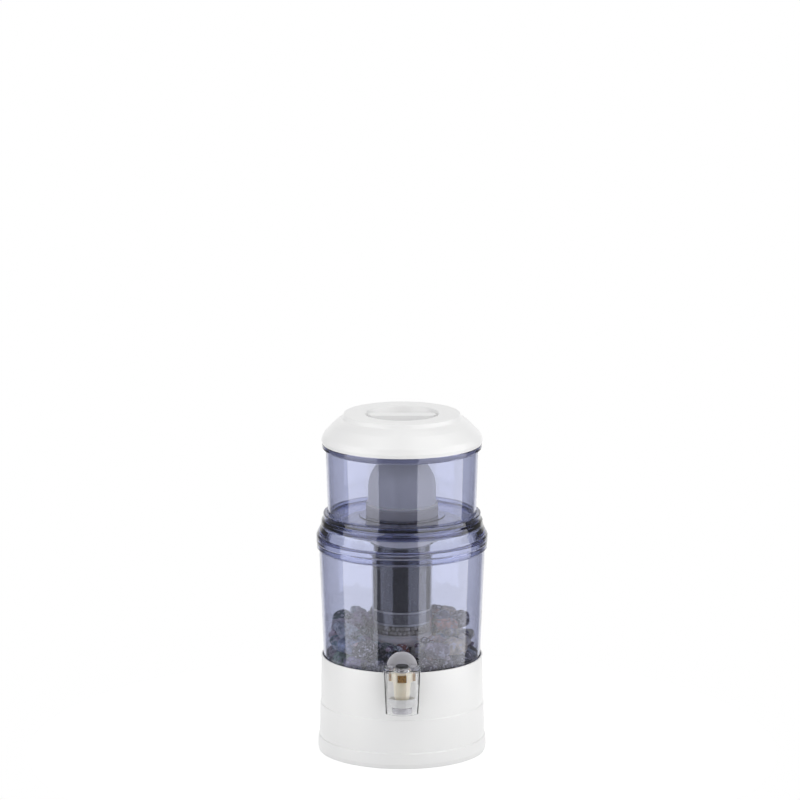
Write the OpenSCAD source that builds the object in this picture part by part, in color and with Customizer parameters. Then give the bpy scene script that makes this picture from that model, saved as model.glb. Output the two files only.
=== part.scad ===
// Gravity water filter: base stand, two stacked tanks with a filter between them, and a hooded tap.
// Axis of the tanks is Z, the stand's foot is at z = 0, and the tap faces -Y.

/* [Base stand] */
// Height of the stand
base_h = 156; // [120:1:200]
// How far the stand's rim is inside the lower tank's rim wall
base_rim_in = 3.1; // [2.9:0.1:3.4]
// How far the belt above the foot band stands out from the rim
base_belt_out = 2; // [1.5:0.1:3]
// How far the foot stands out from the rim
base_foot_out = 5.8; // [5:0.1:14]
// Height of the foot band
foot_band_h = 24; // [15:1:35]
// Height of the belt's upper edge
belt_h = 78; // [50:1:110]
// Wall thickness of the stand
base_wall = 2.8; // [2.4:0.1:3.5]
// Depth of the recess that takes the lower tank
base_recess = 16; // [10:0.5:20]
// Thickness of the deck under the lower tank
deck_t = 3.5; // [2.5:0.1:5]
// Number of radial ribs under the deck
deck_ribs = 8; // [4:1:12]
// Depth of the ribs under the deck
deck_rib_h = 14; // [8:1:25]
// Thickness of the ribs under the deck
deck_rib_t = 2.2; // [1.5:0.1:3]

/* [Lower tank] */
// Height of the lower tank
lower_h = 200; // [170:1:230]
// How much smaller the lower tank's radius is at its floor than at its rim
lower_taper = 7.5; // [7.1:0.1:10]
// Outer radius just below the lower tank's rim
lower_top_r = 132.3; // [131:0.1:133]
// Wall thickness of both tanks
tank_wall = 3; // [2.5:0.1:3.5]
// Thickness of the lower tank's floor
lower_floor = 4; // [3:0.1:5]
// Radius of the rounded corner between wall and floor
tank_corner_r = 8; // [6:0.5:10]
// How far the lower tank's rim stands out
lower_rim_out = 3.5; // [2.5:0.1:4]
// Height of the tank rims
rim_h = 10; // [8:0.5:14]

/* [Mineral stones] */
// Height of one stone layer
stone_h = 24; // [18:1:26]
// Radius of the largest stones
stone_r = 18; // [14:0.5:19]
// Stones in a full ring
stone_count = 16; // [12:1:17]

/* [Collar] */
// Height of the collar above the tank rim
collar_h = 49; // [44:0.5:55]
// How far the collar's thick bead stands out from the lower tank's wall
collar_bead_out = 4.3; // [3.6:0.1:7]
// Height of the bead
collar_bead_h = 13; // [10:0.5:15]
// How far the collar's shoulder is inside the lower tank's wall
collar_shoulder_in = 3.9; // [2.5:0.1:4.8]
// How far the collar's top edge is inside the lower tank's wall
collar_top_in = 6.8; // [5.5:0.1:8]
// Depth of the seat that takes the upper tank
seat_depth = 16; // [13:0.5:18]
// Depth of the pocket that takes the filter dish
pocket_depth = 11; // [10.5:0.5:13]
// Width of the ledge under the dish rim
dish_ledge = 9; // [7:0.5:12]
// Wall thickness of the collar
collar_wall = 3; // [2.5:0.1:3.5]
// Depth of the spigot inside the lower tank's mouth
spigot_h = 12; // [8:0.5:16]

/* [Upper tank] */
// Height of the upper tank
upper_h = 128; // [118:1:145]
// How much smaller the upper tank's foot is than the lower tank's rim wall
upper_in = 14.5; // [14:0.1:17]
// How much wider the upper tank is below its rim than at its foot
upper_taper = 3.8; // [2:0.1:5]
// How far the upper tank's rim stands out
upper_rim_out = 5.4; // [4:0.1:6]
// Thickness of the upper tank's floor
upper_floor = 4; // [3:0.1:5]
// Radius of the raised platform in the floor
platform_r = 67.5; // [64:0.5:75]
// Radius of the recess inside the platform
platform_recess_r = 45; // [30:0.5:50]
// Height of the platform above the floor
platform_h = 1.5; // [1:0.1:2]
// Height of the skirt under the floor
skirt_h = 6; // [4:0.5:8]

/* [Lid] */
// Height of the lid
lid_h = 48; // [44:0.5:52]
// How far the lid's edge stands out past the upper tank's rim
lid_overhang = 1.3; // [0.8:0.1:4]
// How far the raised top is inside the lid's edge
lid_top_in = 35.8; // [33:0.1:42]
// Radius of the finger well in the top
well_r = 56; // [48:0.5:62]
// Depth of the finger well
well_depth = 13; // [9:0.5:16]
// Wall thickness of the lid
lid_wall = 2.8; // [2.2:0.1:3.5]
// Depth of the ring that centres the lid in the upper tank
lid_ring_h = 8; // [6:0.5:11]
// Length of the grip across the well
grip_l = 84; // [60:1:90]
// Width of the grip
grip_w = 24; // [16:1:28]

/* [Dome filter] */
// Outer radius of the ceramic dome
dome_r = 54; // [48:0.5:55]
// Height of the straight part of the ceramic
dome_straight = 28; // [20:0.5:35]
// Wall thickness of the ceramic
ceramic_wall = 8; // [6:0.5:10]
// Radius of the base ring
dome_ring_r = 58; // [57:0.1:60]
// Height of the base ring
dome_ring_h = 17; // [14:0.5:20]
// Radius of the threaded stem
stem_r = 6.5; // [5:0.1:7.5]
// Length of the stem below the base ring
stem_l = 28; // [24:0.5:32]
// Radius of the flow bore in the stem
stem_bore_r = 3; // [2.2:0.1:3.5]
// Thickness of the silicone washers on the stem
washer_t = 2.5; // [2:0.1:3]
// Outer radius of the silicone washers
washer_r = 13; // [11:0.5:15]
// Height of the wing nut
wing_nut_h = 10; // [8:0.5:11]
// Reach of the wings from the axis
wing_reach = 22; // [18:0.5:26]

/* [Filter cartridge] */
// Radius of the dish rim
dish_r = 96.5; // [94:0.5:98]
// Height of the dish rim
dish_rim_h = 7.5; // [6:0.1:8]
// How far the upper step is inside the rim
step1_in = 16.5; // [14:0.5:22]
// Height of the upper step
step1_h = 17; // [14:0.5:20]
// Height of the lower step
step2_h = 18; // [15:0.5:22]
// Wall thickness of the dish
dish_wall = 3; // [2.4:0.1:3.5]
// Radius of the media tube at its top
tube_top_r = 49; // [44:0.5:50]
// Radius of the media tube at its foot
tube_foot_r = 47.6; // [43:0.1:48]
// How far the media tube's flange stands out
tube_flange_out = 10.5; // [9:0.5:13]
// How much shorter the media tube is than the lower tank
tube_short = 62; // [58:1:70]
// Wall thickness of the media tube
tube_wall = 2.2; // [1.8:0.1:3]
// Height of the grey silica bed
silica_h = 17; // [12:0.5:20]
// Height of the layer of mineral balls
balls_h = 16; // [12:0.5:24]
// Thickness of the felt pads
felt_t = 3; // [2:0.1:4]
// Height of the bottom cap
cap_h = 14; // [10:0.5:18]
// Diameter of the mineral balls
ball_d = 7.2; // [5:0.1:7.6]

/* [Tap] */
// Height of the tap's axis above the tank's foot
tap_z = 27; // [26:0.5:34]
// Radius of the threaded shank
shank_r = 10; // [8:0.5:11]
// Radius of the tap's wall flange
flange_r = 24.2; // [22:0.1:25]
// Thickness of the rubber gaskets at their centre
tap_gasket_t = 2; // [1.5:0.1:3]
// Distance from the tank wall to the valve's axis
valve_u = 32; // [31:0.5:34]
// Outer radius of the valve barrel
barrel_r = 11.3; // [10.5:0.1:11.8]
// Radius of the valve chamber
chamber_r = 7.5; // [7:0.1:8]
// Radius of the cream core under the barrel
core_r = 13.2; // [12.8:0.1:14]
// Radius of the water outlet
outlet_r = 6; // [5:0.1:6.5]
// Width of the hood at its top
hood_w = 57.5; // [56:0.5:62]
// Width of the hood at its foot
hood_foot_w = 51; // [50:0.5:56]
// Height of the hood
hood_h = 73; // [70:0.5:76]
// Depth of the hood from back to front
hood_d = 49; // [48:0.5:52]
// Wall thickness of the hood
hood_wall = 3; // [2.5:0.1:3.4]
// Radius of the hood's pivot pins
pivot_r = 1.5; // [1.2:0.1:1.8]
// Radius of the spring wire
spring_wire_r = 0.55; // [0.4:0.05:0.65]
// Active turns of the valve spring
spring_turns = 6; // [4:1:7]

/* [Fits] */
// Side clearance between pieces that lift apart
lift_gap = 0.8; // [0.6:0.1:1]
// Clearance between pieces that are seated for good
seat_gap = 0.05; // [0.02:0.01:0.08]
// Clearance of the hood, stem and nut on what they turn or slide on
run_gap = 0.06; // [0.03:0.01:0.1]
// Air between moving pieces that do not bear on each other
air_gap = 0.4; // [0.3:0.05:0.6]

/* [Hidden] */
$fn = 96;
CLEAR = 1;               // how far a cutting tool runs past the face it cuts
TANK_BLUE = [0.55, 0.57, 0.78, 0.55];
WHITE = [0.95, 0.95, 0.95];
CREAM = [0.93, 0.89, 0.80];

base_top_r = lower_top_r - base_rim_in;
base_belt_r = base_top_r + base_belt_out;
base_foot_r = base_top_r + base_foot_out;
lower_bottom_r = lower_top_r - lower_taper;
collar_bead_r = lower_top_r + collar_bead_out;
collar_shoulder_r = lower_top_r - collar_shoulder_in;
collar_top_r = lower_top_r - collar_top_in;
upper_bottom_r = lower_top_r - upper_in;
upper_top_r = upper_bottom_r + upper_taper;
upper_rim_r = upper_top_r + upper_rim_out;
lid_r = upper_rim_r + lid_overhang;
lid_top_r = lid_r - lid_top_in;
opening_r = dish_r - dish_ledge;
step1_r = dish_r - step1_in;
step2_r = tube_top_r + tube_flange_out;
tube_l = lower_h - tube_short;
screen_r = step2_r - dish_wall - 2.5;
cap_spigot_h = 4;
carbon_h = tube_l - 3 * felt_t - silica_h - balls_h - cap_spigot_h;

deck_z = base_h - base_recess;
lower_z = deck_z;
collar_z = lower_z + lower_h;
seat_z = collar_z + collar_h - seat_depth;
pocket_z = seat_z - pocket_depth;
dish_gasket_t = 1.5;
dish_z = pocket_z + dish_gasket_t;
screen_t = 2.4;
screen_z = dish_z - step1_h - step2_h + screen_t + dish_wall;
tube_z = dish_z - step1_h - step2_h;
tube_flange_h = 3;
tube_foot_z = tube_z - tube_l;
upper_z = seat_z;
upper_floor_z = upper_z + skirt_h + upper_floor;
dome_z = upper_floor_z + platform_h;
lid_z = upper_z + upper_h;

recess_r = lower_r(base_recess) + lift_gap;
stone_rest = 0.2;
rib_in_r = 26;
deck_corner_r = 4;
notch_gap = 1.9;
spigot_r = lower_top_r - tank_wall - lift_gap;
seat_r = upper_bottom_r + lift_gap;
pocket_r = dish_r + lift_gap + 1.2;
lid_ring_r = upper_top_r - tank_wall - lift_gap;
stem_hole_r = stem_r + 0.6;
dome_plate_t = 3;
shank_hole_r = shank_r + 0.5;
neck_r = shank_r - 2;
shank_back = 24;
nut_h = 10;
pivot_u = valve_u - 16;
pivot_v = -4;
boss_r = 4;
hood_back_u = 8;
hood_top_v = 6.4;
hood_foot_v = hood_top_v - hood_h;
hood_shoulder = 2.6;
barrel_top_v = hood_top_v - 1.3;
fork_t = 0.9;
cap_v = hood_top_v + air_gap + 0.2;
cap_t = 2.2;
stem_cap_r = barrel_r - 1;
valve_rod_r = 3;
seat_v = -22;
seal_t = 2.2;
piston_t = 2.5;
piston_v = seat_v + 0.3 + seal_t;
bonnet_t = 3.7;
bonnet_v = barrel_top_v - bonnet_t;
core_top_v = -1;
core_foot_v = -60;
cup_top_v = -42;
cup_foot_v = -57;
cup_r = 21;
column_foot_r = 9;
nozzle_r = 16;
nozzle_foot_v = hood_foot_v + 0.8;

// ---- outlines ----

// Outer radius of the lower tank's wall at a height above its foot
function lower_r(z) = lower_bottom_r + (lower_top_r - lower_bottom_r) * z / (lower_h - rim_h);

function unit(v) = v / norm(v);

// The points that round corner b of the path a, b, c with radius b[2]
function corner(a, b, c, steps = 6) =
    let (p = [b[0], b[1]], u = unit([a[0], a[1]] - p), w = unit([c[0], c[1]] - p))
    b[2] == 0 || norm(u + w) < 1e-6 ? [p] :
    let (half = acos(u * w) / 2,
         from = p + u * b[2] / tan(half),
         to = p + w * b[2] / tan(half),
         mid = p + unit(u + w) * b[2] / sin(half),
         a0 = atan2(from[1] - mid[1], from[0] - mid[0]),
         a1 = atan2(to[1] - mid[1], to[0] - mid[0]),
         turn = a1 - a0 > 180 ? a1 - a0 - 360 : a1 - a0 < -180 ? a1 - a0 + 360 : a1 - a0)
    [for (i = [0:steps]) mid + b[2] * [cos(a0 + turn * i / steps), sin(a0 + turn * i / steps)]];

// A closed outline whose corners are given as [x, y, rounding radius]
function rounded(pts) = [
    for (i = [0:len(pts) - 1])
        each corner(pts[(i + len(pts) - 1) % len(pts)], pts[i], pts[(i + 1) % len(pts)])
];

// A turned piece from a rounded outline in the r-z plane
module turned(pts) rotate_extrude() polygon(rounded(pts));

// Places children where the tap's axis leaves the tank wall: -Y runs forward, Z up
module at_tap() translate([0, -lower_r(tap_z), lower_z + tap_z]) children();

// Turns a piece made along Z so that it runs forward out of the tank wall
module forward() rotate([90, 0, 0]) children();

// Places children on the valve's vertical axis
module at_valve() at_tap() translate([0, -valve_u, 0]) children();

// ---- base stand ----

module base_stand() color(WHITE) difference() {
    turned([
        [base_foot_r - 1.5, 0, 0.5],
        [base_foot_r, 7, 4],
        [base_foot_r - 1.2, foot_band_h, 1],
        [base_belt_r + 0.9, foot_band_h + 1.6, 0.6],
        [base_belt_r, belt_h, 0.8],
        [base_top_r + 0.9, belt_h + 1.6, 0.6],
        [base_top_r, base_h, 1.2],
        [recess_r, base_h, 0.9],
        [recess_r, deck_z, 1.5],
        [0, deck_z, 0],
        [0, deck_z - deck_t, 0],
        [base_top_r - base_wall, deck_z - deck_t, deck_corner_r],
        [base_top_r + 0.9 - base_wall, belt_h, 1],
        [base_belt_r - base_wall, belt_h - 2, 1],
        [base_belt_r + 0.9 - base_wall, foot_band_h, 1],
        [base_foot_r - 1.2 - base_wall, foot_band_h - 2, 1],
        [base_foot_r - 1.5 - base_wall, 0, 0.5]
    ]);
    // The rim is notched so that the tap's flange can drop in with the tank
    at_tap() forward() translate([0, 0, -6]) cylinder(r = flange_r + notch_gap, h = 30);
}

// Straight ribs on the underside of the deck, each its own bar
module stand_ribs() color(WHITE) for (i = [0:deck_ribs - 1]) rotate(360 * (i + 0.5) / deck_ribs)
    translate([rib_in_r, -deck_rib_t / 2, deck_z - deck_t - deck_rib_h])
        cube([base_top_r - base_wall - deck_corner_r - rib_in_r, deck_rib_t, deck_rib_h]);

// ---- lower tank and its stones ----

module lower_tank() color(TANK_BLUE) difference() {
    translate([0, 0, lower_z]) turned([
        [0, 1.2, 0],
        [lower_bottom_r - 24, 1.2, 0.5],
        [lower_bottom_r - 25, 0, 0.5],
        [lower_bottom_r, 0, tank_corner_r],
        [lower_top_r, lower_h - rim_h, 1],
        [lower_top_r + lower_rim_out, lower_h - rim_h + 2, 1.5],
        [lower_top_r + lower_rim_out, lower_h, 1.5],
        [lower_top_r - tank_wall, lower_h, 1.2],
        [lower_top_r - tank_wall, lower_h - rim_h, 0],
        [lower_r(lower_floor) - tank_wall, lower_floor, tank_corner_r - tank_wall],
        [0, lower_floor, 0]
    ]);
    at_tap() forward() translate([0, 0, -10]) cylinder(r = shank_hole_r, h = 20);
}

// One rough stone that lies flat on what is under it: three uneven rings of points between two flat ends
function stone_points(r, h, seed) =
    let (sides = 7, wobble = rands(0, 1, sides * 3, seed))
    [for (k = [0:2], i = [0:sides - 1])
        let (a = 360 * (i + 0.6 * wobble[k * sides + i]) / sides,
             reach = r * [0.78, 0.98, 0.70][k] * (1 - 0.14 * wobble[(k * 5 + i * 2) % (sides * 3)]),
             z = k == 0 ? 0 : k == 2 ? h : h * (0.34 + 0.3 * wobble[(i * 3 + 1) % (sides * 3)]))
        [reach * cos(a), reach * sin(a), z]];

module stone(r, h, seed) {
    sides = 7;
    polyhedron(
        points = stone_points(r, h, seed),
        faces = concat(
            [[for (i = [0:sides - 1]) i]],
            [[for (i = [0:sides - 1]) 3 * sides - 1 - i]],
            [for (k = [0:1], i = [0:sides - 1]) let (j = (i + 1) % sides)
                each [[k * sides + i, (k + 1) * sides + i, k * sides + j],
                      [k * sides + j, (k + 1) * sides + i, (k + 1) * sides + j]]]));
}

// Stones of radius r and height h on a ring, lying at height z: count of them from the first angle
module stone_ring(ring, places, r, h, z, first, count, seed)
    for (i = [0:count - 1])
        rotate(first + i * 360 / places) translate([ring, 0, z])
            rotate(17 * (i + seed)) stone(r, h, seed * 100 + i);

module mineral_stones() color([0.33, 0.30, 0.35]) translate([0, 0, lower_z + lower_floor + stone_rest]) {
    step = 360 / stone_count;
    outer = lower_bottom_r - tank_wall - tank_corner_r / 2 - stone_r;
    inner_r = 0.68 * stone_r;
    inner = tube_top_r + 2.5 + inner_r;
    small_r = 0.6 * stone_r;
    small = inner - inner_r - small_r - 2;
    front = -90;
    // The floor layer leaves out the stone where the tap's nut is
    stone_ring(outer, stone_count, stone_r, stone_h, 0, front + step, stone_count - 1, 3);
    stone_ring(inner, stone_count, inner_r, stone_h, 0, front + step / 2, stone_count, 11);
    stone_ring(small, stone_count / 2, small_r, stone_h - 2, 0, front, stone_count / 2, 2);
    stone_ring(small_r * 1.2, 3, small_r, stone_h - 4, 0, 0, 3, 9);
    // The second and third layers lie on the flat tops of the one below, half a step round
    layer2 = stone_h + stone_rest;
    layer3 = 2 * layer2;
    stone_ring(outer, stone_count, stone_r, stone_h, layer2, front + 1.5 * step, stone_count - 2, 5);
    stone_ring(inner, stone_count, inner_r, stone_h - 4, layer2, front, stone_count, 17);
    stone_ring(outer, stone_count, 0.94 * stone_r, stone_h - 3, layer3, front + 5 * step, 9, 7);
}

// ---- tap ----

module tap_body() color([0.82, 0.83, 0.88, 0.6]) at_tap() difference() {
    face_u = tap_gasket_t;
    union() {
        forward() turned([
            [0, -shank_back, 0],
            [shank_r, -shank_back, 1],
            [shank_r, face_u, 0],
            [flange_r, face_u, 0.6],
            [flange_r, face_u + 2.4, 1.8],
            [shank_r + 2, face_u + 5.5, 3],
            [neck_r, face_u + 7, 1.5],
            [neck_r, valve_u, 0],
            [0, valve_u, 0]
        ]);
        translate([0, -valve_u, seat_v]) cylinder(r = barrel_r, h = barrel_top_v - seat_v);
        translate([0, -pivot_u, pivot_v]) rotate([0, 90, 0])
            cylinder(r = boss_r, h = boss_span, center = true);
    }
    boss_span = 2 * (hood_half(pivot_v) - hood_wall - air_gap);
    translate([0, -valve_u, seat_v - CLEAR]) cylinder(r = chamber_r, h = barrel_top_v - seat_v + 2 * CLEAR);
    // The neck is flat on top, level with the barrel
    translate([-2 * neck_r, -valve_u - barrel_r - CLEAR, barrel_top_v])
        cube([4 * neck_r, valve_u + barrel_r + CLEAR - face_u - 5.5, neck_r]);
    forward() translate([0, 0, -shank_back - CLEAR])
        cylinder(r = 0.45 * shank_r, h = shank_back + CLEAR + valve_u);
    for (s = [-1, 1]) translate([s * boss_span / 2, -pivot_u, pivot_v]) rotate([0, 90, 0])
        cylinder(r = pivot_r + seat_gap / 2, h = 16, center = true);
}

// Rubber ring between the flange and the curved tank wall, hollowed to the wall's own curve
module tap_outer_gasket() color([0.12, 0.12, 0.13]) at_tap() difference() {
    forward() translate([0, 0, -6]) cylinder(r = gasket_r, h = 6 + tap_gasket_t);
    forward() translate([0, 0, -7]) cylinder(r = shank_r + seat_gap, h = 20);
    tank_solid(seat_gap);
    gasket_r = 0.76 * flange_r;
}

module tap_inner_gasket() color([0.12, 0.12, 0.13]) at_tap() difference() {
    intersection() {
        forward() translate([0, 0, nut_u]) cylinder(r = 0.76 * flange_r, h = -nut_u);
        tank_solid(-tank_wall - seat_gap);
    }
    forward() translate([0, 0, -20]) cylinder(r = shank_r + seat_gap, h = 30);
}

nut_u = -tank_wall - tap_gasket_t - 1.6;

// The tank's own outer surface, moved out by grow, in the tap's frame
module tank_solid(grow) translate([0, lower_r(tap_z), -tap_z])
    cylinder(r1 = lower_r(0) + grow, r2 = lower_r(lower_h) + grow, h = lower_h, $fn = 360);

module tap_back_nut() color([0.86, 0.87, 0.9]) at_tap() forward()
    translate([0, 0, nut_u - nut_h]) difference() {
        union() {
            cylinder(r = shank_r + 5, h = nut_h);
            translate([0, 0, nut_h - 2.5]) cylinder(r = 0.76 * flange_r, h = 2.5);
            for (i = [0:5]) rotate(60 * i) translate([0, -1.6, 0]) cube([0.86 * flange_r, 3.2, nut_h]);
        }
        translate([0, 0, -CLEAR]) cylinder(r = shank_r + seat_gap, h = nut_h + 2 * CLEAR);
    }

module tap_bonnet() color(WHITE) at_valve() turned([
    [valve_rod_r + run_gap, bonnet_v, 0],
    [chamber_r - seat_gap, bonnet_v, 0.4],
    [chamber_r - seat_gap, barrel_top_v, 0],
    [valve_rod_r + run_gap, barrel_top_v, 0]
]);

// Plan of the hub that carries the magnets, flat behind so that it clears the pivot bosses
module hub_outline(pockets) difference() {
    circle(r = magnet_hub_r);
    circle(r = core_r - 1);
    translate([-magnet_hub_r, magnet_hub_back]) square([2 * magnet_hub_r, magnet_hub_r]);
    if (pockets)
        for (a = magnet_turns) rotate(a) translate([magnet_bed, -magnet_w / 2]) square([10, magnet_w]);
}

// Cream core: a sleeve round the barrel, a shoulder that is the valve seat, and the outlet column
module tap_core() color(CREAM) at_valve() difference() {
    union() {
        turned([
            [barrel_r + seat_gap, core_top_v, 0],
            [core_r, core_top_v, 0.8],
            [core_r, seat_v, 0],
            [core_r - 1, cup_top_v + 3, 3],
            [column_foot_r, cup_top_v - 4, 3],
            [column_foot_r, core_foot_v, 0.6],
            [outlet_r, core_foot_v, 0],
            [outlet_r, seat_v, 0.5],
            [barrel_r + seat_gap, seat_v, 0]
        ]);
        translate([0, 0, magnet_v - hub_lip]) linear_extrude(hub_lip) hub_outline(false);
        translate([0, 0, magnet_v]) linear_extrude(magnet_h) hub_outline(true);
        translate([0, 0, magnet_v + magnet_h]) linear_extrude(hub_lip) hub_outline(false);
    }
    // Slot for the neck, open at the top so that the core slides up over the barrel
    translate([-neck_r - seat_gap, 0, -neck_r - seat_gap])
        cube([2 * (neck_r + seat_gap), 2 * core_r, 2 * core_r]);
}

magnet_turns = [-90, 0, 180];
magnet_hub_r = 17.5;
magnet_hub_back = 9;
hub_lip = 1;
magnet_bed = 16.4;
magnet_w = 14;
magnet_h = 11;
magnet_t = 4;
magnet_v = -14;

module tap_magnets() color([0.62, 0.45, 0.25]) at_valve()
    for (a = magnet_turns) rotate(a)
        translate([magnet_bed + seat_gap, -magnet_w / 2 + seat_gap, magnet_v + seat_gap])
            cube([magnet_t, magnet_w - 2 * seat_gap, magnet_h - 2 * seat_gap]);

// White bowl that gathers the stream round the foot of the column
module tap_spout_cup() color([0.97, 0.97, 0.95]) at_valve() turned([
    [column_foot_r + seat_gap, cup_foot_v, 0],
    [cup_r - 6, cup_foot_v, 5],
    [cup_r, cup_foot_v + 8, 6],
    [cup_r, cup_top_v, 0.6],
    [cup_r - 2.2, cup_top_v, 0.6],
    [cup_r - 2.2, cup_foot_v + 9, 5],
    [cup_r - 7, cup_foot_v + 3, 2],
    [column_foot_r + seat_gap, cup_foot_v + 3, 0]
]);

module tap_nozzle() color([0.75, 0.77, 0.8, 0.6]) at_valve() turned([
    [outlet_r + 0.8, nozzle_foot_v, 0.4],
    [nozzle_r - 1.2, nozzle_foot_v, 0.8],
    [nozzle_r, cup_foot_v, 0.8],
    [column_foot_r + seat_gap, cup_foot_v, 0],
    [column_foot_r + seat_gap, core_foot_v, 0],
    [outlet_r + 0.8, core_foot_v, 0]
]);

// Two headed pins that carry the hood on the body's bosses
module tap_pivot_pins() color([0.8, 0.8, 0.82]) at_tap()
    for (s = [-1, 1]) translate([0, -pivot_u, pivot_v]) rotate([0, 90 * s, 0]) {
        translate([0, 0, hood_half(pivot_v) - hood_wall - air_gap - 7.5])
            cylinder(r = pivot_r, h = 8 + hood_wall + air_gap);
        translate([0, 0, hood_half(pivot_v) + 0.3]) cylinder(r = 1.9 * pivot_r, h = 0.9);
    }

module valve_stem() color(WHITE) at_valve() turned([
    [0, piston_v, 0],
    [chamber_r - air_gap, piston_v, 0.3],
    [chamber_r - air_gap, piston_v + piston_t, 0.3],
    [valve_rod_r, piston_v + piston_t, 0],
    [valve_rod_r, cap_v + cap_t - 1, 0],
    [0, cap_v + cap_t - 1, 0]
]);

module valve_seal() color([0.15, 0.15, 0.16]) at_valve() translate([0, 0, seat_v + 0.3])
    cylinder(r = chamber_r - air_gap, h = seal_t);

module stem_cap() color([0.08, 0.08, 0.09]) at_valve() turned([
    [valve_rod_r + seat_gap, cap_v, 0],
    [stem_cap_r, cap_v, 0.3],
    [stem_cap_r, cap_v + cap_t, 0.8],
    [0, cap_v + cap_t, 0],
    [0, cap_v + cap_t - 1, 0],
    [valve_rod_r + seat_gap, cap_v + cap_t - 1, 0]
]);

// Coil spring between the piston and the bonnet, one tube swept along a helix with closed ends
spring_r = chamber_r - 1.2 - spring_wire_r;
spring_low = piston_v + piston_t + spring_wire_r + 0.1;
spring_high = bonnet_v - spring_wire_r - 0.1;
spring_rings = 16 * spring_turns;
function spring_at(t) = [
    spring_r * cos(360 * spring_turns * t),
    spring_r * sin(360 * spring_turns * t),
    spring_low + (spring_high - spring_low) * t
];
function spring_ring(t, sides = 6) =
    let (turn = 360 * spring_turns * t)
    [for (k = [0:sides - 1])
        spring_at(t) + spring_wire_r * [cos(360 * k / sides) * cos(turn),
                                        cos(360 * k / sides) * sin(turn),
                                        sin(360 * k / sides)]];

module tap_spring() color([0.75, 0.75, 0.78]) at_valve() {
    sides = 6;
    polyhedron(
        points = [for (i = [0:spring_rings]) each spring_ring(i / spring_rings)],
        faces = concat(
            [[for (k = [0:sides - 1]) k]],
            [[for (k = [0:sides - 1]) (spring_rings + 1) * sides - 1 - k]],
            [for (i = [0:spring_rings - 1], k = [0:sides - 1])
                let (n = (k + 1) % sides, a = i * sides, b = a + sides)
                each [[a + k, b + k, a + n], [a + n, b + k, b + n]]]));
}

// Half width of the hood at height v: it narrows towards its foot
function hood_half(v) = hood_foot_w / 2
    + (hood_w - hood_foot_w) / 2 * (v - hood_foot_v) / (hood_top_v - hood_shoulder - hood_foot_v);

// The hood's solid, drawn in by inset: straight flanks, a bowed front and sloping shoulders
module hood_form(inset, top_v, foot_v) {
    side = hood_half(0);
    front_bow = 18;
    bow_r = (side * side + front_bow * front_bow) / (2 * front_bow) - inset;
    bow_u = hood_back_u + hood_d - bow_r - inset;
    shoulder_v = top_v - hood_shoulder;
    intersection() {
        translate([0, 0, foot_v - CLEAR]) linear_extrude(top_v - foot_v + 2 * CLEAR) intersection() {
            union() {
                translate([0, -bow_u]) circle(r = bow_r);
                translate([-bow_r, -bow_u]) square([2 * bow_r, bow_u + CLEAR]);
            }
            translate([-hood_w, -hood_back_u - 2 * hood_d]) square([2 * hood_w, 2 * hood_d]);
        }
        rotate([90, 0, 0]) linear_extrude(2 * hood_d + hood_back_u) polygon([
            [-hood_half(foot_v) + inset, foot_v],
            [hood_half(foot_v) - inset, foot_v],
            [hood_half(shoulder_v) - inset, shoulder_v],
            [barrel_r + 2, top_v],
            [-barrel_r - 2, top_v],
            [-hood_half(shoulder_v) + inset, shoulder_v]
        ]);
    }
}

// Clear hood: a cover and lever in one, with a fork under the stem's cap
module tap_hood() color([0.85, 0.87, 0.9, 0.35]) at_tap() {
    throat = barrel_r + 2;
    difference() {
        hood_form(0, hood_top_v, hood_foot_v);
        hood_form(hood_wall, hood_top_v - hood_wall, hood_foot_v - 2);
        // The top is open round the barrel and back to the tank, behind the pivot it is cut away
        translate([0, -valve_u, 0]) cylinder(r = throat, h = 20);
        translate([-throat, -valve_u, 0]) cube([2 * throat, valve_u, 20]);
        translate([-hood_w, -pivot_u + boss_r, hood_top_v - hood_wall - hood_shoulder])
            cube([2 * hood_w, 20, 20]);
        translate([-hood_w, -pivot_u, pivot_v]) rotate([0, 90, 0])
            cylinder(r = pivot_r + run_gap, h = 2 * hood_w);
    }
    for (s = [-1, 1]) translate([s > 0 ? fork_in : -fork_out, -valve_u - throat - 1, hood_top_v - fork_t])
        cube([fork_out - fork_in, throat + 2, fork_t]);
    fork_in = valve_rod_r + 0.6;
    fork_out = barrel_r - 2;
}

// ---- collar ----

module tank_collar() color(TANK_BLUE) translate([0, 0, collar_z]) {
    seat_h = collar_h - seat_depth;
    pocket_h = seat_h - pocket_depth;
    turned([
        [spigot_r, 0, 0],
        [collar_bead_r - 1, 0, 0.8],
        [collar_bead_r, 2, 1],
        [collar_bead_r, collar_bead_h, 5],
        [collar_shoulder_r + 1, collar_bead_h + 15, 8],
        [collar_shoulder_r, seat_h + 4, 4],
        [collar_top_r, seat_h + 8, 2],
        [collar_top_r, collar_h, 2],
        [seat_r, collar_h, 1.2],
        [seat_r, seat_h, 0.8],
        [pocket_r, seat_h, 0.8],
        [pocket_r, pocket_h, 1],
        [opening_r, pocket_h, 1],
        [opening_r, pocket_h - collar_wall, 1],
        [pocket_r + collar_wall, pocket_h - collar_wall, 2.5],
        [pocket_r + collar_wall, seat_h - collar_wall, 1],
        [collar_shoulder_r - collar_wall, seat_h - collar_wall, 2],
        [collar_shoulder_r + 1 - collar_wall, collar_bead_h + 12, 5],
        [spigot_r, collar_bead_h - collar_wall + 1, 1.5],
        [spigot_r - collar_wall, collar_bead_h - collar_wall - 3, 2],
        [spigot_r - collar_wall, -spigot_h, 0.8],
        [spigot_r, -spigot_h, 0.8]
    ]);
}

// ---- filter cartridge ----

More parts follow.
